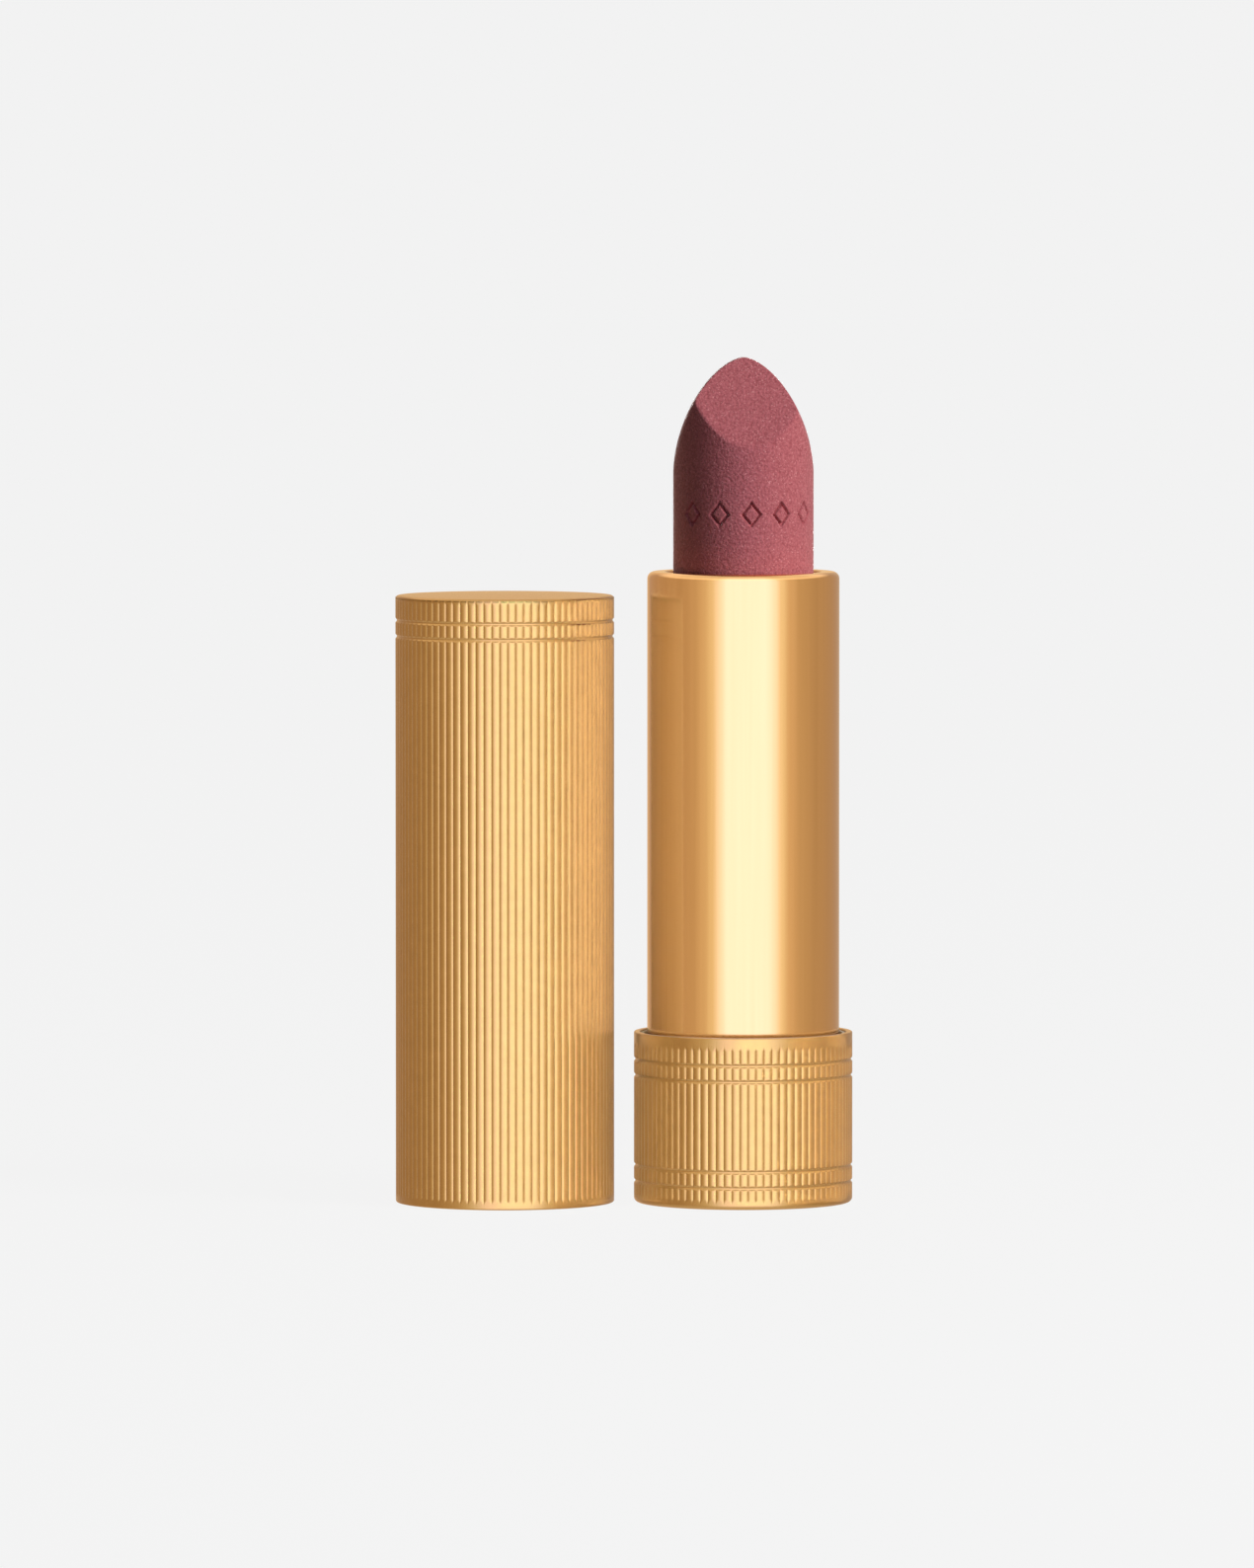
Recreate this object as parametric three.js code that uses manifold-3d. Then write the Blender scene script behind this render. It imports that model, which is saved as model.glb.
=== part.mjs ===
// A twist-up lipstick case with its cap off: the cap stands beside the base, and the bullet is wound out.
// Millimetres, +Z up, the front faces -Y. z = 0 is the surface that both stand on, and the origin lies
// midway between the case's axis (+X side) and the cap's axis (-X side).
//
// Turning the barrel on the base winds the bullet in: the cup's two lugs reach through straight slots in
// the chassis, which is fixed in the base, into helical grooves in the spiral, which turns with the barrel.
import * as THREE from "three";
import { mergeVertices } from "three/addons/utils/BufferGeometryUtils.js";
import Module from "manifold-3d";

const wasm = await Module();
wasm.setup();

// ---- Driving dimensions: heights ----
const BASE_HEIGHT = 15.5;
const BARREL_SHOWN = 41.7; // barrel above the base's rim
const BARREL_DEPTH = 3.3; // barrel below the base's rim
const HEAD_ROOM = 7; // barrel's mouth to the liner's end when the cap is on
const CAP_WEIGHT_HEIGHT = 4.75;
const CUP_HEIGHT = 11.5;
const SPIRAL_FOOT = 9.25; // spiral below the lugs at their lowest
const TIP_SUNK = 1.6; // bullet tip below the barrel's mouth when wound in
const TURNS = 1.5; // of the barrel, from fully out to fully in

// ---- Driving dimensions: walls, from the bullet outwards ----
const BULLET_RADIUS = 6.35;
const CUP_WALL = 0.5;
const CHASSIS_WALL = 0.5;
const SPIRAL_WALL = 0.55;
const BARREL_WALL = 0.45;
const LINER_WALL = 0.35;
const GRIP_RIB = 0.2; // grip ribs stand in from the cap's liner
const SHELL_WALL = 0.55;

// ---- Clearances ----
const GLUE_GAP = 0.05; // between pieces that are pressed or glued together
const GRIP_CLEARANCE = 0.05; // barrel to the cap's grip ribs
const TURN_CLEARANCE = 0.1; // radial, between pieces that turn on each other
const SLIDE_CLEARANCE = 0.15; // radial, cup in chassis
const AXIAL_CLEARANCE = 0.4; // end float of the turning pieces
const LUG_CLEARANCE = 0.2; // lug to its slot and groove
const COLLAR_GAP = 0.3; // visible ring between the barrel and the base's collar
const CAP_GAP = 1.8; // between the standing cap and the base

// ---- Details ----
const RING_WIDTH = 0.4; // V grooves turned round the shells
const RING_DEPTH = 0.18;
const RING_PITCH = 1.45; // between the two rings of a pair
const CAP_RING = 2.4; // top of the cap to its first ring
const BASE_RING_TOP = 2.5; // rim of the base to its first ring
const BASE_RING_FOOT = 1.95; // foot of the base to its last ring
const CAP_EDGE_TOP = 0.3; // chamfers
const CAP_EDGE_FOOT = 0.15;
const BASE_EDGE_TOP = 0.1;
const BASE_EDGE_FOOT = 0.45;
const SHELL_END = 0.6; // thickness of the cap's top and the base's floor
const FOOT_RING = 2.15; // width of the base's foot, outside the label's recess
const LABEL_THICKNESS = 0.12;
const LABEL_RECESS = 0.3;
const PAD_THICKNESS = 0.4;
const MOUTH_ROLL = 0.5; // rounding of the barrel's rolled mouth, and the lip's thickness
const COLLAR_SUNK = 0.15; // core's top below the base's rim
const COLLAR_LIP = 0.75; // height of the core's lip that closes in on the barrel
const CORE_SKIRT = 0.5;
const CORE_WEB = 1.2;
const WEIGHT_CLEARANCE = 0.1;
const SPIGOT_RADIUS = 5;
const FOOT_THICKNESS = 1.5;
const BOSS_HEIGHT = 3.6;
const BEAD_HEIGHT = 0.15; // snap bead that keeps the spiral on the chassis
const BEAD_WIDTH = 0.8;
const BEAD_ABOVE_FOOT = 4; // of the spiral
const CUP_FLOOR = 0.8;
const LUG_RADIUS = 0.8;
const LUG_HEIGHT = 1.7; // lug axis above the cup's foot
const LINER_END = 0.6;
const LINER_SUNK = 0.3; // liner's mouth inside the cap's
const GRIP_RIBS = 6;
const GRIP_RIB_WIDTH = 0.8;
const GRIP_RIB_LEAD = 2; // ribs start this far inside the liner
const NOSE_LENGTH = 10.5; // from the bullet's shoulder to the point its outline runs to
const NOSE_CURVE = 1.8; // power of the outline's bend towards the shoulder
const NOSE_POINT = 0.62; // power of its rounding at the point
const POINT_LOST = 0.1; // of that point, to the blunt tip
const NOSE_STEPS = 8;
const SLANT = 59.8; // degrees from level
const SLANT_FORWARD = 1.68; // slanted face in front of the axis, at the tip's level
const SLANT_TURN = 6.5; // degrees that the slanted face looks to the right of the front
const ROUND = 40; // sides of a round piece
const RING_SECTION_SIDES = 6; // of the O-ring
const LUG_SIDES = 12;

// ---- Radii that follow from the walls and clearances ----
const cupInner = BULLET_RADIUS + GLUE_GAP;
const cupOuter = cupInner + CUP_WALL;
const chassisInner = cupOuter + SLIDE_CLEARANCE;
const chassisOuter = chassisInner + CHASSIS_WALL;
const spiralInner = chassisOuter + TURN_CLEARANCE;
const spiralOuter = spiralInner + SPIRAL_WALL;
const barrelInner = spiralOuter + GLUE_GAP;
const barrelOuter = barrelInner + BARREL_WALL;
const ribTip = barrelOuter + GRIP_CLEARANCE;
const linerInner = ribTip + GRIP_RIB;
const linerOuter = linerInner + LINER_WALL;
const shellInner = linerOuter + GLUE_GAP;
const shellOuter = shellInner + SHELL_WALL;
const coreOuter = shellInner - GLUE_GAP;
const collarInner = barrelOuter + COLLAR_GAP;
const bossRadius = barrelInner - TURN_CLEARANCE;
const brakeSection = barrelInner - chassisOuter - 2 * GLUE_GAP; // O-ring diameter
const recessRadius = shellOuter - FOOT_RING;
const capSpacing = 2 * shellOuter + CAP_GAP; // from the case's axis to the cap's axis

// ---- Heights that follow ----
const shellFloor = LABEL_RECESS + SHELL_END;
const barrelFoot = BASE_HEIGHT - BARREL_DEPTH;
const footTop = barrelFoot - AXIAL_CLEARANCE;
const footBottom = footTop - FOOT_THICKNESS;
const webTop = footBottom - GLUE_GAP;
const webBottom = webTop - CORE_WEB;
const baseWeightFoot = shellFloor + PAD_THICKNESS + 2 * GLUE_GAP;
const bossTop = footTop + BOSS_HEIGHT;
const brakeHeight = bossTop + GLUE_GAP + brakeSection / 2;
const spiralFoot = brakeHeight + brakeSection / 2 + AXIAL_CLEARANCE / 2;
const mouth = BASE_HEIGHT + BARREL_SHOWN;
const lipUnderside = mouth - MOUTH_ROLL;
const chassisTop = lipUnderside - AXIAL_CLEARANCE;
const cupTop = lipUnderside - AXIAL_CLEARANCE;
const cupFoot = cupTop - CUP_HEIGHT;
const lugHigh = cupFoot + LUG_HEIGHT;
const lugLow = spiralFoot + SPIRAL_FOOT;
const travel = lugHigh - lugLow;
const lead = travel / TURNS;
const bulletFoot = cupFoot + CUP_FLOOR + GLUE_GAP;
const bulletTip = mouth + travel - TIP_SUNK;
const linerCeiling = BARREL_SHOWN + HEAD_ROOM;
const capWeightFoot = linerCeiling + LINER_END + GLUE_GAP;
const capPadFoot = capWeightFoot + CAP_WEIGHT_HEIGHT + GLUE_GAP;
const capCeiling = capPadFoot + PAD_THICKNESS + GLUE_GAP;
const capHeight = capCeiling + SHELL_END;

// ---- Solids ----

// A closed round solid from [radius, height] points, outer side upwards.
function turned(profile, sides = ROUND) {
  const outline = profile.map(([r, z]) => new THREE.Vector2(r, z));
  return new THREE.LatheGeometry(outline, sides).rotateX(Math.PI / 2);
}

// A round tube or ring: its profile closes on itself.
function turnedRing(profile, sides = ROUND) {
  return turned([...profile, profile[0]], sides);
}

function disc(radius, foot, top) {
  return turned([
    [0, foot],
    [radius, foot],
    [radius, top],
    [0, top],
  ]);
}

function manifoldOf(geometry) {
  const bare = new THREE.BufferGeometry();
  bare.setAttribute("position", geometry.getAttribute("position"));
  bare.setIndex(geometry.getIndex());
  const merged = mergeVertices(bare, 1e-4);
  return new wasm.Manifold(
    new wasm.Mesh({
      numProp: 3,
      vertProperties: merged.getAttribute("position").array,
      triVerts: new Uint32Array(merged.getIndex().array),
    }),
  );
}

function geometryOf(manifold) {
  const mesh = manifold.getMesh();
  const geometry = new THREE.BufferGeometry();
  geometry.setAttribute("position", new THREE.BufferAttribute(mesh.vertProperties, 3));
  geometry.setIndex(new THREE.BufferAttribute(mesh.triVerts, 1));
  geometry.computeVertexNormals();
  return geometry;
}

function cut(body, ...tools) {
  return geometryOf(tools.reduce((left, tool) => left.subtract(manifoldOf(tool)), manifoldOf(body)));
}

function join(body, ...pieces) {
  return geometryOf(pieces.reduce((sum, piece) => sum.add(manifoldOf(piece)), manifoldOf(body)));
}

// ---- Shells ----

// The points of one V groove round a shell, going up.
function ringGroove(height) {
  return [
    [shellOuter, height - RING_WIDTH / 2],
    [shellOuter - RING_DEPTH, height],
    [shellOuter, height + RING_WIDTH / 2],
  ];
}

// The outer profile of a shell, from the axis up to the axis, with chamfered ends and ring grooves.
function shellOutline(height, edgeFoot, edgeTop, rings) {
  return [
    [0, 0],
    [shellOuter - edgeFoot, 0],
    [shellOuter, edgeFoot],
    ...rings.flatMap(ringGroove),
    [shellOuter, height - edgeTop],
    [shellOuter - edgeTop, height],
    [0, height],
  ];
}

function baseShell() {
  const rings = [
    BASE_RING_FOOT,
    BASE_RING_FOOT + RING_PITCH,
    BASE_HEIGHT - BASE_RING_TOP - RING_PITCH,
    BASE_HEIGHT - BASE_RING_TOP,
  ];
  const plug = turned(shellOutline(BASE_HEIGHT, BASE_EDGE_FOOT, BASE_EDGE_TOP, rings));
  const bore = disc(shellInner, shellFloor, BASE_HEIGHT + 1);
  const recess = disc(recessRadius, -1, LABEL_RECESS);
  return cut(plug, bore, recess);
}

function capShell() {
  const rings = [capHeight - CAP_RING - RING_PITCH, capHeight - CAP_RING];
  const plug = turned(shellOutline(capHeight, CAP_EDGE_FOOT, CAP_EDGE_TOP, rings));
  return cut(plug, disc(shellInner, -1, capCeiling));
}

function barrelShell() {
  const roll = Array.from({ length: 4 }, (_, i) => {
    const angle = (i * Math.PI) / 6;
    return [
      barrelOuter - MOUTH_ROLL * (1 - Math.cos(angle)),
      mouth - MOUTH_ROLL * (1 - Math.sin(angle)),
    ];
  });
  return turnedRing([
    [barrelInner, barrelFoot],
    [barrelOuter, barrelFoot],
    ...roll,
    [chassisInner, mouth],
    [chassisInner, lipUnderside],
    [barrelInner, lipUnderside],
  ]);
}

// ---- Cap fittings ----

function capLiner() {
  const sleeve = turned([
    [0, linerCeiling],
    [linerInner, linerCeiling],
    [linerInner, LINER_SUNK],
    [linerOuter, LINER_SUNK],
    [linerOuter, linerCeiling + LINER_END],
    [0, linerCeiling + LINER_END],
  ]);
  const ribFoot = LINER_SUNK + GRIP_RIB_LEAD;
  const ribHeight = linerCeiling - ribFoot - GRIP_RIB_LEAD;
  const ribDepth = GRIP_RIB + LINER_WALL / 2;
  const ribs = Array.from({ length: GRIP_RIBS }, (_, i) =>
    new THREE.BoxGeometry(ribDepth, GRIP_RIB_WIDTH, ribHeight)
      .translate(ribTip + ribDepth / 2, 0, ribFoot + ribHeight / 2)
      .rotateZ((i * 2 * Math.PI) / GRIP_RIBS),
  );
  return join(sleeve, ...ribs);
}

function capWeight() {
  return disc(shellInner - WEIGHT_CLEARANCE, capWeightFoot, capWeightFoot + CAP_WEIGHT_HEIGHT);
}

function capPad() {
  return disc(shellInner - WEIGHT_CLEARANCE, capPadFoot, capPadFoot + PAD_THICKNESS);
}

// ---- Base fittings ----

function baseCore() {
  const lipFoot = BASE_HEIGHT - COLLAR_SUNK - COLLAR_LIP;
  const wellRadius = coreOuter - CORE_SKIRT / 2;
  return turnedRing([
    [coreOuter, shellFloor + GLUE_GAP],
    [coreOuter, BASE_HEIGHT - COLLAR_SUNK],
    [collarInner, BASE_HEIGHT - COLLAR_SUNK],
    [collarInner, lipFoot],
    [wellRadius, lipFoot - (wellRadius - collarInner)],
    [wellRadius, webTop],
    [SPIGOT_RADIUS + GLUE_GAP, webTop],
    [SPIGOT_RADIUS + GLUE_GAP, webBottom],
    [coreOuter - CORE_SKIRT, webBottom],
    [coreOuter - CORE_SKIRT, shellFloor + GLUE_GAP],
  ]);
}

function baseWeight() {
  return disc(coreOuter - CORE_SKIRT - WEIGHT_CLEARANCE, baseWeightFoot, webBottom - GLUE_GAP);
}

function basePad() {
  const foot = shellFloor + GLUE_GAP;
  return disc(coreOuter - CORE_SKIRT - WEIGHT_CLEARANCE, foot, foot + PAD_THICKNESS);
}

function footLabel() {
  const top = LABEL_RECESS - GLUE_GAP;
  return disc(recessRadius - SLIDE_CLEARANCE, top - LABEL_THICKNESS, top);
}

// ---- Mechanism ----

function chassis() {
  const bead = spiralFoot + BEAD_ABOVE_FOOT;
  const body = turned([
    [0, webBottom],
    [SPIGOT_RADIUS, webBottom],
    [SPIGOT_RADIUS, footBottom],
    [collarInner - COLLAR_GAP, footBottom],
    [collarInner - COLLAR_GAP, footTop],
    [bossRadius, footTop],
    [bossRadius, bossTop],
    [chassisOuter, bossTop],
    [chassisOuter, bead - BEAD_WIDTH / 2],
    [chassisOuter + BEAD_HEIGHT, bead],
    [chassisOuter, bead + BEAD_WIDTH / 2],
    [chassisOuter, chassisTop],
    [chassisInner, chassisTop],
    [chassisInner, footTop],
    [0, footTop],
  ]);
  const slotReach = LUG_RADIUS + LUG_CLEARANCE;
  const slots = new THREE.BoxGeometry(4 * chassisOuter, 2 * slotReach, travel + 2 * slotReach);
  return cut(body, slots.translate(0, 0, (lugHigh + lugLow) / 2));
}

// A bar bent round the axis into a helix that rises by the lead in each turn. It cuts one groove, whose
// end wall lies past the lug at startAngle, and which runs clockwise and down from there.
function helicalCutter(startAngle) {
  const margin = (LUG_RADIUS + LUG_CLEARANCE) / spiralInner;
  const sweep = 2 * Math.PI * TURNS + 2 * margin;
  const steps = Math.ceil((sweep / (2 * Math.PI)) * ROUND);
  const climb = lead / (2 * Math.PI * spiralInner);
  const height = 2 * (LUG_RADIUS + LUG_CLEARANCE) * Math.hypot(1, climb);
  const bar = new THREE.BoxGeometry(1, SPIRAL_WALL + 1, height, steps, 1, 1);
  const position = bar.getAttribute("position");
  for (let i = 0; i < position.count; i++) {
    const back = 0.5 - position.getX(i);
    const angle = startAngle + margin - back * sweep;
    const radius = spiralInner + SPIRAL_WALL / 2 - position.getY(i);
    const z = lugHigh + (lead * (margin - back * sweep)) / (2 * Math.PI) + position.getZ(i);
    position.setXYZ(i, radius * Math.cos(angle), radius * Math.sin(angle), z);
  }
  return bar;
}

function spiral() {
  const bead = spiralFoot + BEAD_ABOVE_FOOT;
  const pocket = spiralInner + BEAD_HEIGHT;
  const pocketReach = BEAD_WIDTH / 2 + AXIAL_CLEARANCE / 2;
  const sleeve = turnedRing([
    [spiralInner, spiralFoot],
    [spiralOuter, spiralFoot],
    [spiralOuter, lipUnderside - GLUE_GAP],
    [spiralInner, lipUnderside - GLUE_GAP],
    [spiralInner, bead + pocketReach],
    [pocket, bead + pocketReach - BEAD_HEIGHT],
    [pocket, bead - pocketReach + BEAD_HEIGHT],
    [spiralInner, bead - pocketReach],
  ]);
  return cut(sleeve, helicalCutter(0), helicalCutter(Math.PI));
}

function brakeRing() {
  const centre = (chassisOuter + barrelInner) / 2;
  const ring = new THREE.TorusGeometry(centre, brakeSection / 2, RING_SECTION_SIDES, ROUND);
  return ring.translate(0, 0, brakeHeight);
}

function cup() {
  const body = turned([
    [0, cupFoot],
    [cupOuter, cupFoot],
    [cupOuter, cupTop],
    [cupInner, cupTop],
    [cupInner, cupFoot + CUP_FLOOR],
    [0, cupFoot + CUP_FLOOR],
  ]);
  const root = cupInner + CUP_WALL / 2;
  const tip = spiralOuter - TURN_CLEARANCE;
  const lugs = [0, Math.PI].map((angle) =>
    new THREE.CylinderGeometry(LUG_RADIUS, LUG_RADIUS, tip - root, LUG_SIDES)
      .rotateZ(Math.PI / 2)
      .translate((tip + root) / 2, 0, lugHigh)
      .rotateZ(angle),
  );
  return join(body, ...lugs);
}

// ---- Bullet ----

// Half the width of the nose at a distance below its point.
function noseHalfWidth(below) {
  const rest = 1 - below / NOSE_LENGTH;
  return BULLET_RADIUS * (1 - rest ** NOSE_CURVE) ** NOSE_POINT;
}

// [half width, height] points of the bullet's outline from the shoulder to the blunt tip, closer
// together towards the tip.
function noseOutline() {
  const point = bulletTip + POINT_LOST;
  return Array.from({ length: NOSE_STEPS + 1 }, (_, i) => {
    const below = POINT_LOST + (NOSE_LENGTH - POINT_LOST) * (1 - i / NOSE_STEPS) ** 1.5;
    return [noseHalfWidth(below), point - below];
  });
}

// Behind the axis the nose is turned. In front of it the same outline runs straight forward, which
// gives the slanted face its cheeks.
function bullet() {
  const nose = noseOutline();
  const back = turned([[0, bulletFoot], [BULLET_RADIUS, bulletFoot], ...nose, [0, bulletTip]]);
  const outline = [...nose, ...nose.map(([x, z]) => [-x, z]).reverse()];
  const shape = new THREE.Shape(outline.map(([x, z]) => new THREE.Vector2(x, z)));
  const depth = 2 * BULLET_RADIUS;
  const prism = new THREE.ExtrudeGeometry(shape, { depth, bevelEnabled: false }).rotateX(Math.PI / 2);
  const shoulder = bulletTip + POINT_LOST - NOSE_LENGTH;
  const cheeks = manifoldOf(prism).intersect(manifoldOf(disc(BULLET_RADIUS, shoulder, bulletTip)));
  const span = 4 * BULLET_RADIUS;
  const slant = new THREE.BoxGeometry(span, span, span)
    .translate(0, 0, span / 2)
    .rotateX(THREE.MathUtils.degToRad(SLANT))
    .translate(0, -SLANT_FORWARD, bulletTip)
    .rotateZ(THREE.MathUtils.degToRad(SLANT_TURN));
  return geometryOf(manifoldOf(back).add(cheeks).subtract(manifoldOf(slant)));
}

// ---- Materials ----

const gold = { color: 0xd9a860, roughness: 0.3, metalness: 1 };
const greyPlastic = { color: 0xa8a6a2, roughness: 0.45, metalness: 0 };
const darkPlastic = { color: 0x2e2c2b, roughness: 0.5, metalness: 0 };
const whitePlastic = { color: 0xe6e4df, roughness: 0.45, metalness: 0 };
const steel = { color: 0x9a9da0, roughness: 0.35, metalness: 1 };
const foam = { color: 0x3c3a38, roughness: 0.9, metalness: 0 };
const elastomer = { color: 0x232323, roughness: 0.7, metalness: 0 };
const paper = { color: 0xe9dcc0, roughness: 0.6, metalness: 0 };
const wax = { color: 0xa0555e, roughness: 0.75, metalness: 0 };

// ---- Assembly ----

function piece(name, geometry, finish) {
  const mesh = new THREE.Mesh(geometry, new THREE.MeshStandardMaterial(finish));
  mesh.name = name;
  return mesh;
}

const caseGroup = new THREE.Group();
caseGroup.position.x = capSpacing / 2;
caseGroup.add(
  piece("base_shell", baseShell(), gold),
  piece("base_core", baseCore(), greyPlastic),
  piece("base_weight", baseWeight(), steel),
  piece("base_pad", basePad(), foam),
  piece("foot_label", footLabel(), paper),
  piece("chassis", chassis(), darkPlastic),
  piece("brake_ring", brakeRing(), elastomer),
  piece("barrel_shell", barrelShell(), gold),
  piece("spiral", spiral(), whitePlastic),
  piece("cup", cup(), darkPlastic),
  piece("bullet", bullet(), wax),
);

const capGroup = new THREE.Group();
capGroup.position.x = -capSpacing / 2;
capGroup.add(
  piece("cap_shell", capShell(), gold),
  piece("cap_liner", capLiner(), darkPlastic),
  piece("cap_weight", capWeight(), steel),
  piece("cap_pad", capPad(), foam),
);

const lipstickCase = new THREE.Group();
lipstickCase.add(caseGroup, capGroup);

export default lipstickCase;
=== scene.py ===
import math

import bmesh
import bpy
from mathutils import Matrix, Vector


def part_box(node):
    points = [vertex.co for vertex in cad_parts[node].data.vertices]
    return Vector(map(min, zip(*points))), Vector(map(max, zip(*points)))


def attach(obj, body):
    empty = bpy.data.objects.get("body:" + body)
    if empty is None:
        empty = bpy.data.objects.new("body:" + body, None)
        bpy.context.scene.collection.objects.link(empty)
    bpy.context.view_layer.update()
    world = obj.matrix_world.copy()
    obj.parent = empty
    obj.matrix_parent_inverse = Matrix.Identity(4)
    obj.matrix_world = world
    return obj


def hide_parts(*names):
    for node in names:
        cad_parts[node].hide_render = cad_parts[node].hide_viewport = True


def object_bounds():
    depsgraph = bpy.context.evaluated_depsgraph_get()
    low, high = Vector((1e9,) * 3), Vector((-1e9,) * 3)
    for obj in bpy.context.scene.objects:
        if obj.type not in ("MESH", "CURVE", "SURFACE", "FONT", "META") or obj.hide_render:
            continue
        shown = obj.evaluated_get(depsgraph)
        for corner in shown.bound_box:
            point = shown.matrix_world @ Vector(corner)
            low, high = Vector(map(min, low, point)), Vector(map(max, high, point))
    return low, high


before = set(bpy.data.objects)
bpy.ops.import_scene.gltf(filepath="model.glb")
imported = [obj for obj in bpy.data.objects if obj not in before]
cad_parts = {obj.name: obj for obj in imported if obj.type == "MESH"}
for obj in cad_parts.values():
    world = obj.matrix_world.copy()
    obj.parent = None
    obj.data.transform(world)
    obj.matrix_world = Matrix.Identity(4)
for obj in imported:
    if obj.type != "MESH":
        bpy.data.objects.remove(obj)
cad_low, cad_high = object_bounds()

MM = 0.001

# ---- Places and sizes that the frame gives ----
base_low, base_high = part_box("base_shell")
cap_low, cap_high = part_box("cap_shell")
barrel_low, barrel_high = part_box("barrel_shell")
bullet_low, bullet_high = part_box("bullet")
label_low, label_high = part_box("foot_label")
case_x = (base_low.x + base_high.x) / 2
cap_x = (cap_low.x + cap_high.x) / 2
shell_radius = (base_high.x - base_low.x) / 2
barrel_radius = (barrel_high.x - barrel_low.x) / 2
bullet_radius = (bullet_high.x - bullet_low.x) / 2
label_radius = (label_high.x - label_low.x) / 2

# ---- Shells: walls, edges, flutes and rings ----
SHELL_WALL = 0.55 * MM
SHELL_END = 0.6 * MM
FOOT_RECESS = 0.3 * MM
LABEL_GAP = 0.15 * MM
CAP_CROWN = 0.15 * MM
EDGE_SOFT = 0.08 * MM
CAP_EDGE_TOP = 0.32 * MM
BASE_EDGE_FOOT = 0.45 * MM
FLUTES = 84
FLUTE_COLUMNS = 12
FLUTE_DEPTH = 0.08 * MM
FLUTE_LINE = 0.2  # the share of the depth that is in the sharp line between two ribs
FLUTE_RUNOUT = 0.4 * MM
RING_WIDTH = 0.46 * MM
RING_DEPTH = 0.14 * MM
RING_CURVE = 1.5
RING_PITCH = 1.45 * MM
CAP_RING = 2.4 * MM
BASE_RING_TOP = 2.5 * MM
BASE_RING_FOOT = 1.95 * MM
CAP_BAND_TOP = 0.32 * MM
CAP_BAND_FOOT = 0.5 * MM
BASE_BAND_TOP = 0.8 * MM
BASE_BAND_FOOT = 0.55 * MM

# ---- Barrel and bullet ----
BARREL_STEPS = 264
BARREL_WALL = 0.45 * MM
MOUTH_ROLL = 0.65 * MM
LIP_RADIUS = 7.05 * MM
LIP_THICKNESS = 0.5 * MM
BULLET_STEPS = 600
BULLET_FIRST_ROW = 5 * MM
NOSE_LENGTH = 10.5 * MM
NOSE_CURVE = 1.8
NOSE_POINT = 0.62
NOSE_SIDE_SOFT = 0.4 * MM
NOSE_ROWS = 76
NOSE_CROWDING = 1.5
SLANT = math.radians(59.8)
SLANT_FORWARD = 1.68 * MM
SLANT_TURN = math.radians(6.5)
SLANT_EDGE = 0.06 * MM
LOZENGES = 5
LOZENGE_PITCH = math.radians(26.5)
LOZENGE_TURN = math.radians(6)
LOZENGE_HALF_WIDTH = 0.95 * MM
LOZENGE_HALF_HEIGHT = 1.15 * MM
LOZENGE_LINE = 0.38 * MM
LOZENGE_LINE_PLACE = 0.85  # where the line runs, from the lozenge's middle to its outer corners
LOZENGE_LIMIT = 1.1
LOZENGE_DEPTH = 0.32 * MM
LOZENGE_BELOW_TIP = 14.05 * MM
ENGRAVED_ROWS = 46
ENGRAVED_BAND = 2.5 * MM
ENGRAVED_TO_NOSE = 1.4 * MM


# ---- Mesh helpers ----

SHARP_EDGE = math.radians(50)
TURN_WEDGES = 12


def finish_mesh(mesh, name, body, material):
    """Makes a closed bmesh an object that rides on its body, smooth except at sharp edges."""
    bmesh.ops.recalc_face_normals(mesh, faces=mesh.faces)
    for face in mesh.faces:
        face.smooth = True
    data = bpy.data.meshes.new(name)
    mesh.to_mesh(data)
    mesh.free()
    data.set_sharp_from_angle(angle=SHARP_EDGE)
    data.materials.append(material)
    piece = bpy.data.objects.new(name, data)
    bpy.context.scene.collection.objects.link(piece)
    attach(piece, body)
    return piece


def turn(outline, axis_x, steps):
    """Turns (radius, height) points about an upright axis, one wedge first and then its copies.

    The points start and end on the axis, or at one point.
    """
    mesh = bmesh.new()
    verts = [mesh.verts.new((axis_x + radius, 0, height)) for radius, height in outline]
    edges = [mesh.edges.new(pair) for pair in zip(verts, verts[1:])]
    wedge = math.tau / TURN_WEDGES
    rest = math.tau - wedge
    axis = {"cent": (axis_x, 0, 0), "axis": (0, 0, 1)}
    bmesh.ops.spin(mesh, geom=verts + edges, angle=wedge, steps=steps // TURN_WEDGES, **axis)
    whole = mesh.verts[:] + mesh.edges[:] + mesh.faces[:]
    bmesh.ops.spin(mesh, geom=whole, angle=rest, steps=TURN_WEDGES - 1, use_duplicate=True, **axis)
    bmesh.ops.remove_doubles(mesh, verts=mesh.verts, dist=1e-7)
    return mesh


def arc(centre_r, centre_z, radius, start, end, steps=6):
    """Points on a round edge, from one angle to another in degrees. Outwards is 0 and up is 90."""
    points = []
    for i in range(steps + 1):
        angle = math.radians(start + (end - start) * i / steps)
        points.append((centre_r + radius * math.cos(angle), centre_z + radius * math.sin(angle)))
    return points


def smooth_step(low, high, value):
    """Rises gently from 0 to 1 as a value goes from low to high."""
    share = min(1.0, max(0.0, (value - low) / (high - low)))
    return share * share * (3 - 2 * share)


# ---- Fluted shells ----

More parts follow.
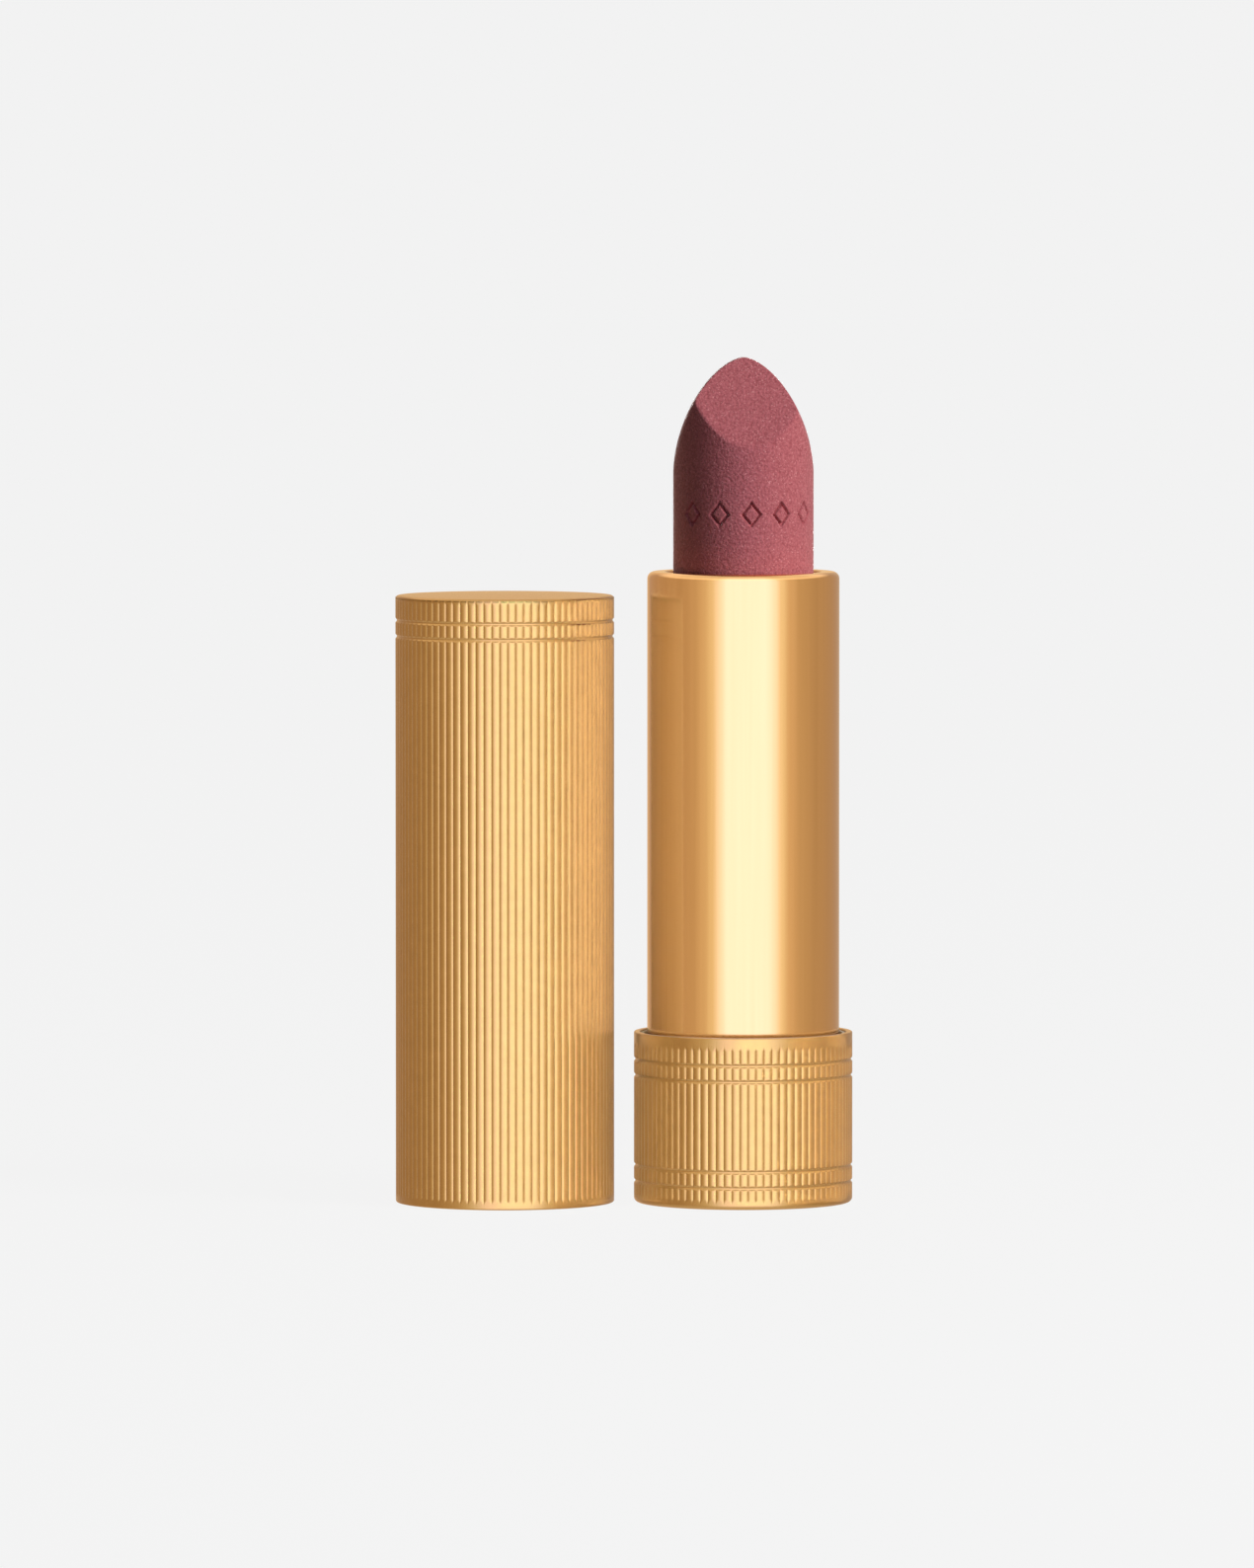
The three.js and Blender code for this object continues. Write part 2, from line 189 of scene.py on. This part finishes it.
def wall_heights(foot, top, rings):
    """Heights up a fluted wall, close together where flutes run out and across ring grooves."""
    runouts = [FLUTE_RUNOUT * share for share in (0, 0.25, 0.5, 0.75, 1)]
    heights = [foot + runout for runout in runouts]
    for ring in rings:
        heights += [ring + RING_WIDTH / 2 * row / 4 for row in range(-5, 6)]
    return heights + [top - runout for runout in reversed(runouts)]


def wall_depth(turned, height, foot, top, rings):
    """How far the wall is pressed in, by flutes that run out at both ends and by rings across them."""
    phase = turned * FLUTES / math.tau
    across = abs(2 * (phase - round(phase)))
    across = (1 - FLUTE_LINE) * across**2 + FLUTE_LINE * across**8
    inside = min(height - foot, top - height)
    lift = FLUTE_DEPTH * (1 - min(1.0, max(0.0, inside / FLUTE_RUNOUT)))
    flute = max(0.0, FLUTE_DEPTH * across - lift)
    ring = 0.0
    for middle in rings:
        share = abs(height - middle) / (RING_WIDTH / 2)
        if share < 1:
            ring = RING_DEPTH * math.cos(math.pi / 2 * share) ** RING_CURVE
    return max(flute, ring)


def press_wall(mesh, axis_x, foot, top, rings):
    """Presses the flutes and rings into a turned shell's outer wall."""
    for vert in mesh.verts:
        radius = math.hypot(vert.co.x - axis_x, vert.co.y)
        if radius < shell_radius - 1e-7 or not foot < vert.co.z < top:
            continue
        turned = math.atan2(vert.co.y, vert.co.x - axis_x)
        scale = 1 - wall_depth(turned, vert.co.z, foot, top, rings) / radius
        vert.co.x = axis_x + (vert.co.x - axis_x) * scale
        vert.co.y *= scale


def fluted_cap(material):
    foot = cap_low.z + CAP_BAND_FOOT
    top = cap_high.z - CAP_BAND_TOP
    rings = [cap_high.z - CAP_RING - RING_PITCH, cap_high.z - CAP_RING]
    inner = shell_radius - SHELL_WALL
    edge_z = cap_high.z - CAP_CROWN - CAP_EDGE_TOP
    outline = [(0, cap_high.z - SHELL_END), (inner, cap_high.z - SHELL_END)]
    outline += arc(inner + EDGE_SOFT, cap_low.z + EDGE_SOFT, EDGE_SOFT, 180, 270, 4)
    outline += arc(shell_radius - 2 * EDGE_SOFT, cap_low.z + 2 * EDGE_SOFT, 2 * EDGE_SOFT, 270, 360, 4)
    outline += [(shell_radius, height) for height in wall_heights(foot, top, rings)]
    outline += arc(shell_radius - CAP_EDGE_TOP, edge_z, CAP_EDGE_TOP, 0, 90)
    outline += [
        (shell_radius * share, cap_high.z - CAP_CROWN * share**2) for share in (0.9, 0.75, 0.5, 0.25, 0)
    ]
    mesh = turn(outline, cap_x, FLUTES * FLUTE_COLUMNS)
    press_wall(mesh, cap_x, foot, top, rings)
    piece = finish_mesh(mesh, "cap_fluted", "cap", material)
    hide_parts("cap_shell")
    return piece


def fluted_base(material):
    foot = base_low.z + BASE_BAND_FOOT
    top = base_high.z - BASE_BAND_TOP
    rings = [
        base_low.z + BASE_RING_FOOT,
        base_low.z + BASE_RING_FOOT + RING_PITCH,
        base_high.z - BASE_RING_TOP - RING_PITCH,
        base_high.z - BASE_RING_TOP,
    ]
    inner = shell_radius - SHELL_WALL
    recess = label_radius + LABEL_GAP
    floor = base_low.z + FOOT_RECESS + SHELL_END
    outline = [(0, base_low.z + FOOT_RECESS), (recess, base_low.z + FOOT_RECESS)]
    outline += arc(recess + EDGE_SOFT, base_low.z + EDGE_SOFT, EDGE_SOFT, 180, 270, 4)
    outline += arc(shell_radius - BASE_EDGE_FOOT, base_low.z + BASE_EDGE_FOOT, BASE_EDGE_FOOT, 270, 360)
    outline += [(shell_radius, height) for height in wall_heights(foot, top, rings)]
    rim_soft = 1.5 * EDGE_SOFT
    outline += arc(shell_radius - rim_soft, base_high.z - rim_soft, rim_soft, 0, 90, 4)
    outline += arc(inner + EDGE_SOFT, base_high.z - EDGE_SOFT, EDGE_SOFT, 90, 180, 4)
    outline += [(inner, floor), (0, floor)]
    mesh = turn(outline, case_x, FLUTES * FLUTE_COLUMNS)
    press_wall(mesh, case_x, foot, top, rings)
    piece = finish_mesh(mesh, "base_fluted", "base", material)
    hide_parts("base_shell")
    return piece


# ---- Barrel ----

def smooth_barrel(material):
    inner = barrel_radius - BARREL_WALL
    top = barrel_high.z
    outline = [(inner, barrel_low.z)]
    outline += arc(barrel_radius - EDGE_SOFT, barrel_low.z + EDGE_SOFT, EDGE_SOFT, 270, 360, 4)
    outline += arc(barrel_radius - MOUTH_ROLL, top - MOUTH_ROLL, MOUTH_ROLL, 0, 90, 10)
    outline += arc(LIP_RADIUS + 2 * EDGE_SOFT, top - 2 * EDGE_SOFT, 2 * EDGE_SOFT, 90, 180, 6)
    outline += [(LIP_RADIUS, top - LIP_THICKNESS), (inner, top - LIP_THICKNESS), (inner, barrel_low.z)]
    mesh = turn(outline, case_x, BARREL_STEPS)
    piece = finish_mesh(mesh, "barrel_smooth", "barrel", material)
    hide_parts("barrel_shell")


# ---- Bullet ----

def nose_half_width(below_tip):
    """Half the width of the bullet's outline at a depth below its tip."""
    rest = max(0.0, 1 - below_tip / NOSE_LENGTH)
    return bullet_radius * (1 - rest**NOSE_CURVE) ** NOSE_POINT


def soft_min(a, b, softness):
    """The smaller of two lengths, eased over the softness where they are close."""
    share = max(0.0, 1 - abs(a - b) / softness)
    return min(a, b) - share * share * softness / 4


def engraved_depth(turned, below_tip):
    """Depth of the engraved row of plain lozenge outlines."""
    row = abs(below_tip - LOZENGE_BELOW_TIP) / LOZENGE_HALF_HEIGHT
    place = (turned - LOZENGE_TURN) / LOZENGE_PITCH
    nearest = round(place)
    if row > LOZENGE_LIMIT or abs(nearest) > LOZENGES // 2:
        return 0.0
    across = abs(place - nearest) * LOZENGE_PITCH * bullet_radius / LOZENGE_HALF_WIDTH
    steepness = math.hypot(1 / LOZENGE_HALF_WIDTH, 1 / LOZENGE_HALF_HEIGHT)
    from_line = abs(across + row - LOZENGE_LINE_PLACE) / steepness
    return LOZENGE_DEPTH * (1 - smooth_step(0, LOZENGE_LINE / 2, from_line))


def bullet_reach(turned, height):
    """The bullet's radius towards an angle from the front, at a height."""
    below_tip = bullet_high.z - height
    half_width = nose_half_width(below_tip)
    reach = half_width
    if abs(turned) < math.pi / 2:
        sideways = max(abs(math.sin(turned)), 1e-6)
        softness = max(1e-9, min(NOSE_SIDE_SOFT, 2 * (bullet_radius - half_width)))
        reach = soft_min(bullet_radius, half_width / sideways, softness)
    falls = math.cos(turned - SLANT_TURN) * math.tan(SLANT)
    if falls > 1e-6:
        to_slant = (below_tip + SLANT_FORWARD * math.tan(SLANT)) / falls
        reach = soft_min(reach, to_slant, SLANT_EDGE)
    return reach - engraved_depth(turned, below_tip)


def slanted_bullet(material):
    foot = bullet_low.z
    engraved = bullet_high.z - LOZENGE_BELOW_TIP
    heights = [foot, foot + BULLET_FIRST_ROW]
    heights += [engraved + ENGRAVED_BAND * (i / ENGRAVED_ROWS - 0.5) for i in range(ENGRAVED_ROWS + 1)]
    nose = LOZENGE_BELOW_TIP - ENGRAVED_TO_NOSE
    heights += [bullet_high.z - nose * (1 - i / NOSE_ROWS) ** NOSE_CROWDING for i in range(NOSE_ROWS)]
    outline = [(0, foot)] + [(bullet_radius, height) for height in heights] + [(0, bullet_high.z)]
    mesh = turn(outline, case_x, BULLET_STEPS)
    for vert in mesh.verts:
        away_x, away_y = vert.co.x - case_x, vert.co.y
        radius = math.hypot(away_x, away_y)
        if radius < 1e-6 or vert.co.z <= foot:
            continue
        reach = bullet_reach(math.atan2(away_x, -away_y), vert.co.z)
        vert.co.x = case_x + away_x * reach / radius
        vert.co.y = away_y * reach / radius
    piece = finish_mesh(mesh, "bullet_slanted", "carrier", material)
    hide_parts("bullet")
    return piece


# ---- Materials ----

def new_material(name, color, roughness, metallic=0.0):
    """A material with a Principled shader, and its nodes, links and shader."""
    material = bpy.data.materials.new(name)
    material.use_nodes = True
    nodes, links = material.node_tree.nodes, material.node_tree.links
    shader = nodes["Principled BSDF"]
    shader.inputs["Base Color"].default_value = (*color, 1)
    shader.inputs["Roughness"].default_value = roughness
    shader.inputs["Metallic"].default_value = metallic
    return material, nodes, links, shader


def noise(nodes, links, scale, detail=2.0, stretch=(1, 1, 1)):
    """Noise on object coordinates. The scale is in waves per metre."""
    place = nodes.new("ShaderNodeTexCoord")
    mapping = nodes.new("ShaderNodeMapping")
    mapping.inputs["Scale"].default_value = stretch
    texture = nodes.new("ShaderNodeTexNoise")
    texture.inputs["Scale"].default_value = scale
    texture.inputs["Detail"].default_value = detail
    links.new(place.outputs["Object"], mapping.inputs["Vector"])
    links.new(mapping.outputs["Vector"], texture.inputs["Vector"])
    return texture.outputs["Fac"]


def spread(nodes, links, value, low, high, start=0.3, end=0.7):
    """Maps a noise value onto a range."""
    node = nodes.new("ShaderNodeMapRange")
    node.inputs["From Min"].default_value = start
    node.inputs["From Max"].default_value = end
    node.inputs["To Min"].default_value = low
    node.inputs["To Max"].default_value = high
    links.new(value, node.inputs["Value"])
    return node.outputs["Result"]


def give(links, socket, value):
    """Links a socket to another, or sets it to a colour or number."""
    if isinstance(value, bpy.types.NodeSocket):
        links.new(value, socket)
    else:
        socket.default_value = value


def mixed(nodes, links, factor, first, second, kind="RGBA"):
    """Mixes two colours or numbers by a value from 0 to 1."""
    node = nodes.new("ShaderNodeMix")
    node.data_type = kind
    links.new(factor, node.inputs["Factor"])
    give(links, node.inputs["A"], first)
    give(links, node.inputs["B"], second)
    return node.outputs["Result"]


def shade(nodes, links, value, dark, light):
    """Mixes two colours by a noise value."""
    share = spread(nodes, links, value, 0, 1)
    return mixed(nodes, links, share, (*dark, 1), (*light, 1))


def bump(nodes, links, shader, height, distance):
    """Raises the surface by a noise value times a distance."""
    node = nodes.new("ShaderNodeBump")
    node.inputs["Distance"].default_value = distance
    links.new(height, node.inputs["Height"])
    links.new(node.outputs["Normal"], shader.inputs["Normal"])


def gold(
    name, dark, light, roughness, mirrored, mirrored_roughness, patches, grain, grain_depth, stretch
):
    """Plated gold whose tint and shine vary a little.

    Mirrored in other gold it is softer, and shows a painted reflection tint of its own. Patches and grain
    are in waves per metre.
    """
    material, nodes, links, shader = new_material(name, light, roughness[0], 1.0)
    cloud = noise(nodes, links, patches, 3, stretch)
    tint = shade(nodes, links, cloud, dark, light)
    shine = spread(nodes, links, cloud, *roughness)
    # Painted reflection: rays from other gold see the mirrored tint and roughness, not this gold's own
    # colour.
    again = nodes.new("ShaderNodeLightPath").outputs["Is Glossy Ray"]
    links.new(mixed(nodes, links, again, tint, (*mirrored, 1)), shader.inputs["Base Color"])
    links.new(mixed(nodes, links, again, shine, mirrored_roughness, "FLOAT"), shader.inputs["Roughness"])
    bump(nodes, links, shader, noise(nodes, links, grain, 2, stretch), grain_depth)
    return material


def fluted_gold():
    """Satin gold with fine, even grain."""
    return gold(
        "fluted_gold",
        dark=(0.6, 0.335, 0.11),
        light=(0.635, 0.358, 0.12),
        roughness=(0.23, 0.27),
        # Painted reflection tint: the colour the shells show when mirrored in other gold.
        mirrored=(0.7, 0.62, 0.46),
        mirrored_roughness=1.0,
        patches=900,
        grain=7000,
        grain_depth=0.0014 * MM,
        stretch=(1, 1, 1),
    )


def barrel_gold():
    """Bright polished gold with faint upright streaks."""
    return gold(
        "barrel_gold",
        dark=(0.92, 0.52, 0.205),
        light=(0.96, 0.55, 0.225),
        roughness=(0.1, 0.16),
        # Painted reflection tint: the colour the barrel shows when mirrored in other gold.
        mirrored=(1.0, 0.95, 0.85),
        mirrored_roughness=0.7,
        patches=1600,
        grain=6000,
        grain_depth=0.0012 * MM,
        stretch=(1, 1, 0.015),
    )


def bullet_wax():
    """Matt pressed wax: a fine grain with a few lighter specks."""
    material, nodes, links, shader = new_material("bullet_wax", (0.46, 0.13, 0.145), 0.6)
    shader.inputs["Specular IOR Level"].default_value = 0.35
    shader.inputs["Sheen Weight"].default_value = 0.12
    shader.inputs["Sheen Roughness"].default_value = 0.5
    grain = noise(nodes, links, 4300, 3)
    body = shade(nodes, links, grain, (0.37, 0.086, 0.097), (0.57, 0.16, 0.178))
    specks = spread(nodes, links, noise(nodes, links, 7000, 1), 0, 1, 0.61, 0.75)
    speckled = mixed(nodes, links, specks, body, (0.76, 0.3, 0.31, 1))
    links.new(speckled, shader.inputs["Base Color"])
    links.new(spread(nodes, links, grain, 0.68, 0.48), shader.inputs["Roughness"])
    bump(nodes, links, shader, grain, 0.1 * MM)
    return material


def moulded(name, color, light, roughness, grain_scale=4000, depth=0.01 * MM):
    """Moulded plastic or rubber with a fine grain and a slight cloudiness."""
    material, nodes, links, shader = new_material(name, color, roughness)
    cloud = noise(nodes, links, 300, 3)
    links.new(shade(nodes, links, cloud, color, light), shader.inputs["Base Color"])
    grain = noise(nodes, links, grain_scale, 2)
    links.new(spread(nodes, links, grain, roughness - 0.06, roughness + 0.08), shader.inputs["Roughness"])
    bump(nodes, links, shader, grain, depth)
    return material


def turned_steel():
    """Bare steel of the weights, with long upright scratches."""
    material, nodes, links, shader = new_material("turned_steel", (0.56, 0.57, 0.59), 0.3, 1.0)
    scratches = noise(nodes, links, 2500, 3, (1, 1, 0.1))
    links.new(spread(nodes, links, scratches, 0.22, 0.42), shader.inputs["Roughness"])
    bump(nodes, links, shader, scratches, 0.006 * MM)
    return material


# ---- World, lights, floor and camera ----

# PAPER is how bright the background and the floor look. FILL is the world's even light on matt surfaces.
PAPER = 0.888
FILL = 0.05
FLOOR_ALBEDO = 0.03
FLOOR_REACH = 4

# The room that the metal mirrors. ROOM_AROUND holds colours by degrees right of the front. ROOM_LEVEL
# scales them by degrees above the horizon, and the greys of ROOM_ABOVE are added.
ROOM_AROUND = [
    (-180, (0.85, 0.62, 0.35)),
    (-165, (0.72, 0.54, 0.34)),
    (-150, (0.51, 0.4, 0.31)),
    (-85, (0.53, 0.425, 0.32)),
    (-65, (0.59, 0.49, 0.37)),
    (-50, (0.71, 0.63, 0.5)),
    (-38, (0.9, 0.9, 0.78)),
    (-28, (1.18, 1.35, 1.75)),
    (-19, (1.65, 1.7, 2.6)),
    (30, (1.65, 1.7, 2.6)),
    (38, (1.35, 1.48, 2.0)),
    (46, (0.98, 1.02, 0.95)),
    (58, (0.73, 0.64, 0.52)),
    (75, (0.58, 0.5, 0.39)),
    (100, (0.5, 0.42, 0.33)),
    (150, (0.47, 0.39, 0.33)),
    (168, (0.55, 0.45, 0.35)),
    (180, (0.85, 0.62, 0.35)),
]
ROOM_LEVEL = [(-90, 0.0), (-45, 0.2), (-22, 1.0), (22, 1.0), (55, 0.35), (90, 0.0)]
ROOM_ABOVE = [(-90, 0.85), (-45, 0.6), (-22, 0.0), (22, 0.0), (38, 0.75), (60, 0.75), (90, 0.75)]

WARM = (1, 0.92, 0.82)
WARMER = (1, 0.9, 0.8)
GREEN = (0.15, 1, 0.35)

CAMERA_LENS = 313
CAMERA_DISTANCE = 1.235
CAMERA_LIFTED = math.radians(3.1)
CAMERA_AIM = Vector((0.27 * MM, 0, -0.38 * MM))  # from the middle of the object


def math_node(nodes, links, operation, *values, kind="ShaderNodeMath"):
    """The first output of a math node over numbers and sockets."""
    node = nodes.new(kind)
    node.operation = operation
    for socket, value in zip(node.inputs, values):
        give(links, socket, value)
    return node.outputs[0]


def vector_node(nodes, links, operation, *values):
    return math_node(nodes, links, operation, *values, kind="ShaderNodeVectorMath")


def ramp(nodes, links, value, stops):
    """A smooth ramp over (place, colour) stops."""
    node = nodes.new("ShaderNodeValToRGB")
    node.color_ramp.interpolation = "EASE"
    elements = node.color_ramp.elements
    while len(elements) < len(stops):
        elements.new(1.0)
    for element, (position, color) in zip(elements, stops):
        element.position = position
        element.color = (*color, 1)
    links.new(value, node.inputs["Fac"])
    return node.outputs["Color"]


def by_turn(stops):
    """Ramp stops for colours that are given by degrees right of the front."""
    return [(0.5 + degrees / 360, color) for degrees, color in stops]


def by_height(stops):
    """Ramp stops for greys that are given by degrees above the horizon."""
    return [(0.5 + 0.5 * math.sin(math.radians(degrees)), (grey, grey, grey)) for degrees, grey in stops]


def studio_world():
    """Pale paper to the eye. The metal mirrors a warm room with a cool, wide light box in front."""
    world = bpy.data.worlds.new("studio")
    bpy.context.scene.world = world
    world.use_nodes = True
    nodes, links = world.node_tree.nodes, world.node_tree.links
    nodes.clear()
    place = nodes.new("ShaderNodeTexCoord")
    parts = nodes.new("ShaderNodeSeparateXYZ")
    links.new(place.outputs["Generated"], parts.inputs["Vector"])
    backwards = math_node(nodes, links, "MULTIPLY", parts.outputs["Y"], -1.0)
    angle = math_node(nodes, links, "ARCTAN2", parts.outputs["X"], backwards)
    turned = math_node(nodes, links, "MULTIPLY_ADD", angle, 1 / math.tau, 0.5)
    around = ramp(nodes, links, turned, by_turn(ROOM_AROUND))
    up = math_node(nodes, links, "MULTIPLY_ADD", parts.outputs["Z"], 0.5, 0.5)
    above = ramp(nodes, links, up, by_height(ROOM_ABOVE))
    level = ramp(nodes, links, up, by_height(ROOM_LEVEL))
    room = vector_node(nodes, links, "MULTIPLY_ADD", around, level, above)
    seen = nodes.new("ShaderNodeLightPath")
    mirrored = vector_node(nodes, links, "MULTIPLY", room, seen.outputs["Is Glossy Ray"])
    fill = math_node(nodes, links, "MULTIPLY", seen.outputs["Is Diffuse Ray"], FILL)
    plain = math_node(nodes, links, "MULTIPLY_ADD", seen.outputs["Is Camera Ray"], PAPER, fill)
    background = nodes.new("ShaderNodeBackground")
    links.new(vector_node(nodes, links, "ADD", mirrored, plain), background.inputs["Color"])
    output = nodes.new("ShaderNodeOutputWorld")
    links.new(background.outputs["Background"], output.inputs["Surface"])


def area_light(name, turned, lifted, distance, size, power, only=(), color=(1, 1, 1)):
    """A soft square light towards the object, at degrees right of the front and degrees up.

    A light with pieces of its own lights only those. It casts no shadow, so that the cap and the case,
    which stand close together, don't darken each other.
    """
    light = bpy.data.lights.new(name, "AREA")
    light.size = size
    light.energy = power
    light.color = color
    holder = bpy.data.objects.new(name, light)
    bpy.context.scene.collection.objects.link(holder)
    turned, lifted = math.radians(turned), math.radians(lifted)
    level = math.cos(lifted)
    away = Vector((math.sin(turned) * level, -math.cos(turned) * level, math.sin(lifted)))
    holder.location = (cad_low + cad_high) / 2 + away * distance
    holder.rotation_mode = "QUATERNION"
    holder.rotation_quaternion = away.to_track_quat("Z", "Y")
    holder.visible_camera = False
    holder.visible_glossy = bool(only)
    if only:
        light.use_shadow = False
        light.cycles.use_multiple_importance_sampling = False
        holder.light_linking.receiver_collection = bpy.data.collections.new(name + "_pieces")
        for piece in only:
            holder.light_linking.receiver_collection.objects.link(piece)


def studio_lights(cap, base, bullet):
    """A key light on everything, and soft lights on the fluted shells and behind the bullet."""
    shells = [cap, base]
    area_light("key", 57, 22, distance=0.5, size=0.25, power=2.43)
    area_light("side", 68, 5, distance=0.6, size=0.4, power=0.3, only=shells, color=WARM)
    area_light("far_side", 115, 5, distance=0.6, size=0.45, power=0.34, only=shells, color=WARM)
    area_light("near_side", -120, 5, distance=0.6, size=0.45, power=0.22, only=[base], color=WARMER)
    area_light("front", 11, 0, distance=0.6, size=0.4, power=0.28, only=shells, color=GREEN)
    area_light("back", 180, 12, distance=0.6, size=0.3, power=1.6, only=[bullet])


def pale_floor():
    """A floor as pale as the background, which glows a little so that it needs no light."""
    mesh = bmesh.new()
    bmesh.ops.create_grid(mesh, x_segments=1, y_segments=1, size=FLOOR_REACH)
    data = bpy.data.meshes.new("floor")
    mesh.to_mesh(data)
    mesh.free()
    material, nodes, links, shader = new_material("floor_paper", (FLOOR_ALBEDO,) * 3, 1.0)
    shader.inputs["Specular IOR Level"].default_value = 0.0
    shader.inputs["Emission Color"].default_value = (1, 1, 1, 1)
    shader.inputs["Emission Strength"].default_value = PAPER - FLOOR_ALBEDO * FILL
    data.materials.append(material)
    floor = bpy.data.objects.new("floor", data)
    bpy.context.scene.collection.objects.link(floor)
    floor.visible_glossy = False
    floor.visible_diffuse = False


def camera():
    data = bpy.data.cameras.new("camera")
    data.lens = CAMERA_LENS
    data.sensor_width = 36
    data.clip_start, data.clip_end = 0.01, 20
    holder = bpy.data.objects.new("camera", data)
    bpy.context.scene.collection.objects.link(holder)
    target = (cad_low + cad_high) / 2 + CAMERA_AIM
    away = Vector((0, -math.cos(CAMERA_LIFTED), math.sin(CAMERA_LIFTED)))
    holder.location = target + away * CAMERA_DISTANCE
    holder.rotation_mode = "QUATERNION"
    holder.rotation_quaternion = away.to_track_quat("Z", "Y")
    bpy.context.scene.camera = holder


# ---- The finishes of the CAD nodes ----

def finish_nodes():
    """Gives the CAD nodes that no new piece replaces materials of their own."""
    core = moulded("core_plastic", (0.55, 0.52, 0.47), (0.62, 0.59, 0.54), 0.35)
    dark = moulded("dark_plastic", (0.03, 0.028, 0.027), (0.045, 0.042, 0.04), 0.4)
    white = moulded("spiral_plastic", (0.8, 0.79, 0.75), (0.86, 0.85, 0.82), 0.3)
    foam = moulded("pad_foam", (0.05, 0.05, 0.05), (0.12, 0.12, 0.11), 0.9, 1500, 0.15 * MM)
    rubber = moulded("brake_rubber", (0.02, 0.02, 0.02), (0.04, 0.04, 0.04), 0.55)
    film = moulded("label_film", (0.74, 0.64, 0.42), (0.8, 0.7, 0.48), 0.45, 2500)
    steel = turned_steel()
    finishes = {
        "base_core": core,
        "base_weight": steel,
        "base_pad": foam,
        "foot_label": film,
        "chassis": dark,
        "brake_ring": rubber,
        "spiral": white,
        "cup": dark,
        "cap_liner": dark,
        "cap_weight": steel,
        "cap_pad": foam,
    }
    for name, material in finishes.items():
        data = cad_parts[name].data
        data.materials.clear()
        data.materials.append(material)


# ---- The lipstick ----

camera()
studio_world()
pale_floor()
fluted = fluted_gold()
cap = fluted_cap(fluted)
base = fluted_base(fluted)
smooth_barrel(barrel_gold())
bullet = slanted_bullet(bullet_wax())
finish_nodes()
studio_lights(cap, base, bullet)
bpy.context.scene.view_settings.view_transform = "Standard"
